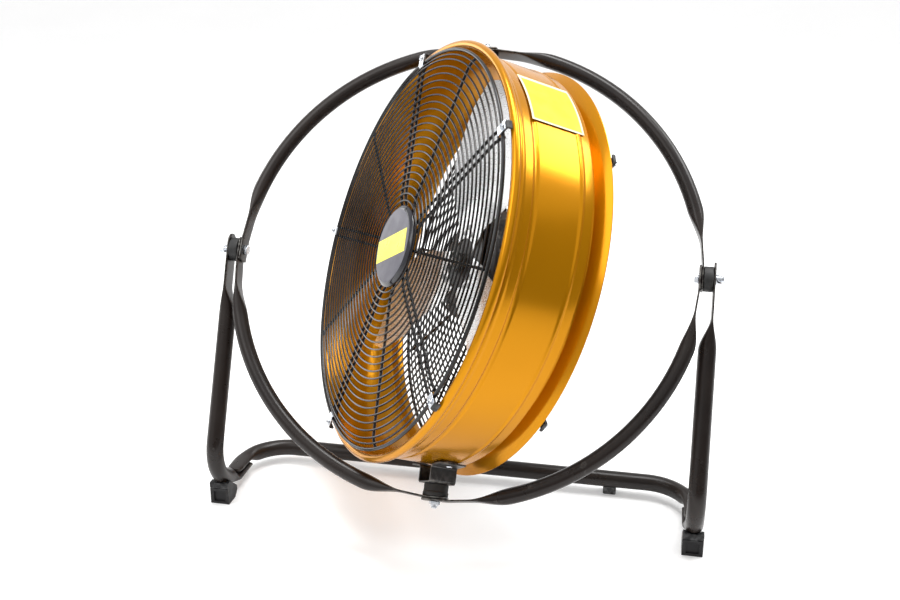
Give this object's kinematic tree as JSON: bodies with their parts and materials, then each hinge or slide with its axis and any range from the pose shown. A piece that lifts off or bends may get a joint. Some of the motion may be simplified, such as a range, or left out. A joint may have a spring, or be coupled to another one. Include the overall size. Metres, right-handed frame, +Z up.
{
  "type": "portable drum fan",
  "caption": "Sheet-steel drum fan with wire guards, swivelling in a round tube hoop that tilts between the legs of a floor stand.",
  "frame": {"origin": "on the floor under the middle of the whole object's bounding box, in the pose it is stored in", "axes": "+X to the right seen from the front and along the tilt axis, +Y to the rear of the stand, +Z up"},
  "size_m": [0.7094, 0.567, 0.6562],
  "materials": {
    "tube_paint": "semi-gloss black-brown powder coat",
    "drum_paint": "glossy yellow-orange powder coat",
    "guard_paint": "satin black over wire",
    "sheet_paint": "satin black",
    "black_plastic": "moulded, faintly grained",
    "control_plastic": "moulded, satin",
    "badge_plastic": "satin dark grey with a plain yellow band",
    "label_film": "yellow film with no text",
    "zinc": "bright zinc plate",
    "blade_aluminium": "rolled sheet, lightly brushed",
    "plain_steel": "turned or pressed steel",
    "copper_winding": "varnished copper windings in a steel core",
    "capacitor_can": "drawn can"
  },
  "bodies": {
    "stand": {"left_leg": "tube_paint", "right_leg": "tube_paint", "left_foot": "black_plastic", "right_foot": "black_plastic", "left_rear_pad": "black_plastic", "right_rear_pad": "black_plastic", "left_leg_bolt": "zinc", "right_leg_bolt": "zinc", "rear_crossbar": "tube_paint", "left_pivot_spacer": "black_plastic", "right_pivot_spacer": "black_plastic"},
    "hoop": {"hoop_arc_lower_right": "tube_paint", "hoop_arc_lower_left": "tube_paint", "hoop_arc_upper_left": "tube_paint", "hoop_arc_upper_right": "tube_paint", "left_pivot_bolt": "zinc", "right_pivot_bolt": "zinc", "lower_swivel_bolt": "zinc", "upper_swivel_bolt": "zinc", "lower_swivel_nut": "zinc", "upper_swivel_nut": "zinc", "lower_swivel_spacer": "black_plastic", "upper_swivel_spacer": "black_plastic"},
    "drum": {"drum_shell": "drum_paint", "drum_label": "label_film", "front_guard": "guard_paint", "rear_guard": "guard_paint", "hub_badge": "badge_plastic", "front_clip_1": "zinc", "front_clip_2": "zinc", "front_clip_3": "zinc", "front_clip_4": "zinc", "front_clip_5": "zinc", "rear_clip_1": "zinc", "rear_clip_2": "zinc", "rear_clip_3": "zinc", "rear_clip_4": "zinc", "rear_clip_5": "zinc", "lower_swivel_bracket": "sheet_paint", "upper_swivel_bracket": "sheet_paint", "motor_mount": "sheet_paint", "motor_rear_bell": "sheet_paint", "motor_front_bell": "sheet_paint", "motor_housing": "sheet_paint", "motor_stator": "copper_winding", "front_bearing": "plain_steel", "rear_bearing": "plain_steel", "control_housing": "control_plastic", "speed_switch": "control_plastic", "cable_gland": "control_plastic", "run_capacitor": "capacitor_can"},
    "rotor": {"motor_shaft": "plain_steel", "motor_rotor_core": "plain_steel", "fan_hub": "sheet_paint", "fan_blade_1": "blade_aluminium", "fan_blade_2": "blade_aluminium", "fan_blade_3": "blade_aluminium"},
    "knob": {"speed_knob": "control_plastic"},
    "left_wing": {"left_wing_nut": "zinc"},
    "right_wing": {"right_wing_nut": "zinc"}
  },
  "joints": [
    {"name": "hoop_tilt", "type": "hinge", "parent": "stand", "child": "hoop", "pos_m": [0, 0.01182, 0.355], "axis": [-1, 0, 0], "range_deg": [-33, 130]},
    {"name": "drum_swivel", "type": "hinge", "parent": "hoop", "child": "drum", "pos_m": [0, 0.01182, 0.355], "axis": [0, 0.5678, 0.8231], "range_deg": [-127, 232]},
    {"name": "rotor_spin", "type": "hinge", "parent": "drum", "child": "rotor", "pos_m": [0, 0.01182, 0.355], "axis": [-0.7965, -0.4977, 0.3433], "continuous": true},
    {"name": "speed_knob_turn", "type": "hinge", "parent": "drum", "child": "knob", "pos_m": [0.05576, 0.05461, 0.34249], "axis": [0.7965, 0.4977, -0.3433], "range_deg": [0, 120]},
    {"name": "left_wing_nut_turn", "type": "hinge", "parent": "hoop", "child": "left_wing", "pos_m": [-0.35, 0.01182, 0.355], "axis": [-1, 0, 0], "range_deg": [-180, 180]},
    {"name": "right_wing_nut_turn", "type": "hinge", "parent": "hoop", "child": "right_wing", "pos_m": [0.35, 0.01182, 0.355], "axis": [1, 0, 0], "range_deg": [-180, 180]}
  ]
}
